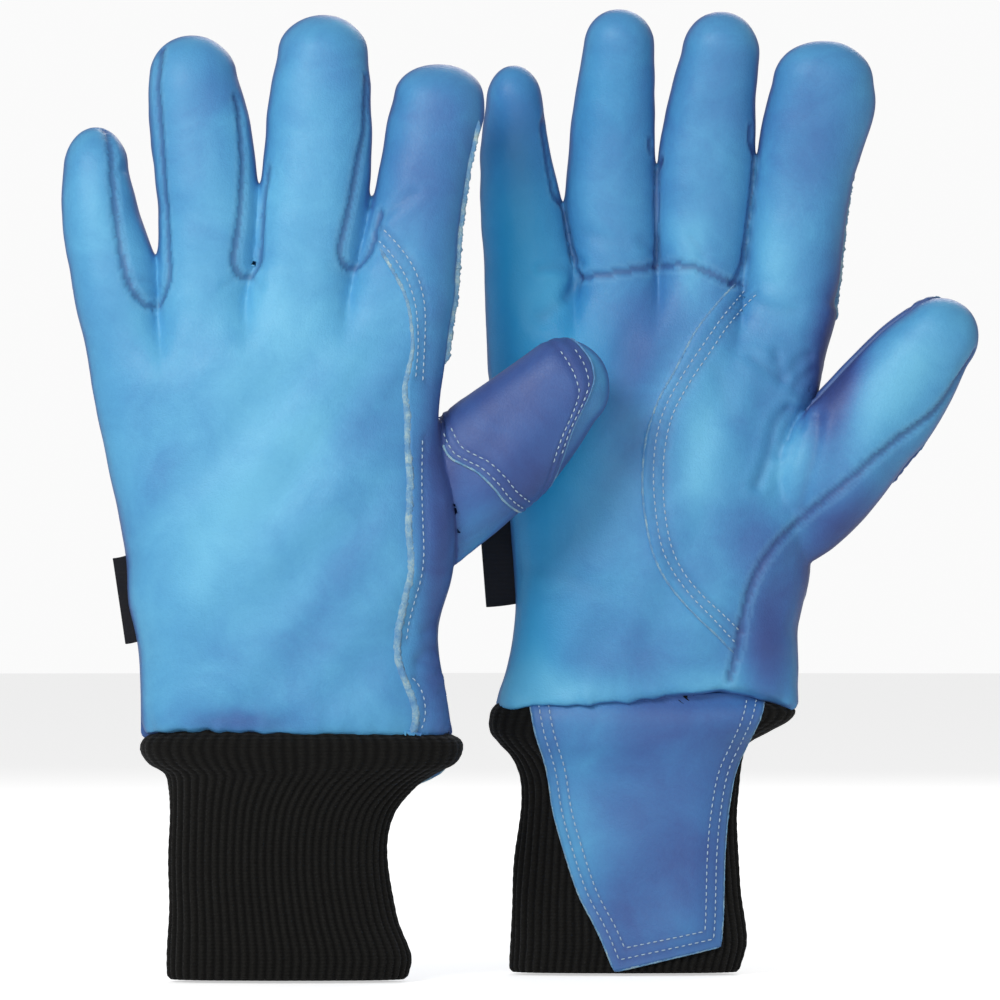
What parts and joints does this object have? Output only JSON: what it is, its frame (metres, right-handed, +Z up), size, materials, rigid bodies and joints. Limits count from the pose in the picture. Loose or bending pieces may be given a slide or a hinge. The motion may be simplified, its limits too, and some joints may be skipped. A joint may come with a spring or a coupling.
{
  "type": "pair of cryogenic gloves",
  "caption": "Insulated leather gloves for handling very cold goods, standing on ribbed knit cuffs, with flexing fingers and swinging thumbs.",
  "frame": {"origin": "middle of the pair's footprint, on the surface that the cuffs stand on", "axes": "+Z up along the hands to the fingertips, +X to the thumb side of both gloves, +Y away from the left glove's back; the left glove's back and the right glove's palm face -Y"},
  "size_m": [0.312, 0.097, 0.33],
  "materials": {
    "blue_leather": "smooth dyed grain leather, matt, with raw pale edges and double stitching",
    "fleece": "thick off-white pile",
    "black_knit": "ribbed acrylic knit, matt black",
    "black_tab": "folded woven tape"
  },
  "bodies": {
    "right_hand": {"right_back_panel": "blue_leather", "right_palm_panel": "blue_leather", "right_back_wing": "blue_leather", "right_palm_wing": "blue_leather", "right_hand_liner": "fleece", "right_knit_cuff": "black_knit", "right_pulse_patch": "blue_leather"},
    "right_little": {"right_little_back": "blue_leather", "right_little_liner": "fleece", "right_little_palm": "blue_leather", "right_little_wall_thumb_side": "blue_leather"},
    "right_ring": {"right_ring_back": "blue_leather", "right_ring_liner": "fleece", "right_ring_palm": "blue_leather", "right_ring_wall_outer_side": "blue_leather", "right_ring_wall_thumb_side": "blue_leather"},
    "right_middle": {"right_middle_back": "blue_leather", "right_middle_liner": "fleece", "right_middle_palm": "blue_leather", "right_middle_wall_outer_side": "blue_leather", "right_middle_wall_thumb_side": "blue_leather"},
    "right_index": {"right_index_back": "blue_leather", "right_index_liner": "fleece", "right_index_palm": "blue_leather", "right_index_wall_outer_side": "blue_leather"},
    "right_thumb": {"right_thumb_back": "blue_leather", "right_thumb_liner": "fleece", "right_thumb_palm": "blue_leather", "right_thumb_patch": "blue_leather"},
    "right_tab_body": {"right_tab": "black_tab"},
    "left_hand": {"left_back_panel": "blue_leather", "left_palm_panel": "blue_leather", "left_back_wing": "blue_leather", "left_palm_wing": "blue_leather", "left_hand_liner": "fleece", "left_knit_cuff": "black_knit", "left_pulse_patch": "blue_leather"},
    "left_little": {"left_little_back": "blue_leather", "left_little_liner": "fleece", "left_little_palm": "blue_leather", "left_little_wall_thumb_side": "blue_leather"},
    "left_ring": {"left_ring_back": "blue_leather", "left_ring_liner": "fleece", "left_ring_palm": "blue_leather", "left_ring_wall_outer_side": "blue_leather", "left_ring_wall_thumb_side": "blue_leather"},
    "left_middle": {"left_middle_back": "blue_leather", "left_middle_liner": "fleece", "left_middle_palm": "blue_leather", "left_middle_wall_outer_side": "blue_leather", "left_middle_wall_thumb_side": "blue_leather"},
    "left_index": {"left_index_back": "blue_leather", "left_index_liner": "fleece", "left_index_palm": "blue_leather", "left_index_wall_outer_side": "blue_leather"},
    "left_thumb": {"left_thumb_back": "blue_leather", "left_thumb_liner": "fleece", "left_thumb_palm": "blue_leather", "left_thumb_patch": "blue_leather"},
    "left_tab_body": {"left_tab": "black_tab"}
  },
  "joints": [
    {"name": "left_glove_slide", "type": "slide", "parent": "right_hand", "child": "left_hand", "axis": [-1, 0, 0], "range_m": [0, 0.2]},
    {"name": "right_little_flex", "type": "hinge", "parent": "right_hand", "child": "right_little", "pos_m": [0.0016, 0.014, 0.24025], "axis": [0.9979, 0, 0.0644], "range_deg": [0, 60]},
    {"name": "right_ring_flex", "type": "hinge", "parent": "right_hand", "child": "right_ring", "pos_m": [0.0306, 0.0127, 0.2425], "axis": [0.9999, 0, -0.0171], "range_deg": [0, 60]},
    {"name": "right_middle_flex", "type": "hinge", "parent": "right_hand", "child": "right_middle", "pos_m": [0.0591, 0.0121, 0.24], "axis": [0.9948, 0, -0.1017], "range_deg": [0, 60]},
    {"name": "right_index_flex", "type": "hinge", "parent": "right_hand", "child": "right_index", "pos_m": [0.08985, 0.0123, 0.232], "axis": [0.9875, 0, -0.1579], "range_deg": [0, 60]},
    {"name": "right_thumb_swing", "type": "hinge", "parent": "right_hand", "child": "right_thumb", "pos_m": [0.1023, 0.0265, 0.1734], "axis": [0, -1, 0], "range_deg": [-12, 8]},
    {"name": "right_tab_flap", "type": "hinge", "parent": "right_hand", "child": "right_tab_body", "pos_m": [-0.00558, 0.0265, 0.1435], "axis": [-0.0987, 0, 0.9951], "range_deg": [-60, 60]},
    {"name": "left_little_flex", "type": "hinge", "parent": "left_hand", "child": "left_little", "pos_m": [-0.1369, -0.014, 0.22925], "axis": [-0.9893, 0, -0.1456], "range_deg": [0, 60]},
    {"name": "left_ring_flex", "type": "hinge", "parent": "left_hand", "child": "left_ring", "pos_m": [-0.10815, -0.0127, 0.23425], "axis": [-0.9984, 0, -0.056], "range_deg": [0, 60]},
    {"name": "left_middle_flex", "type": "hinge", "parent": "left_hand", "child": "left_middle", "pos_m": [-0.0754, -0.0121, 0.24025], "axis": [-0.995, 0, 0.0998], "range_deg": [0, 60]},
    {"name": "left_index_flex", "type": "hinge", "parent": "left_hand", "child": "left_index", "pos_m": [-0.0399, -0.0123, 0.2385], "axis": [-0.9808, 0, 0.1948], "range_deg": [0, 60]},
    {"name": "left_thumb_swing", "type": "hinge", "parent": "left_hand", "child": "left_thumb", "pos_m": [-0.022, -0.0265, 0.1696], "axis": [0, -1, 0], "range_deg": [-12, 8]},
    {"name": "left_tab_flap", "type": "hinge", "parent": "left_hand", "child": "left_tab_body", "pos_m": [-0.13212, -0.0265, 0.1295], "axis": [-0.1544, 0, 0.988], "range_deg": [-60, 60]}
  ]
}
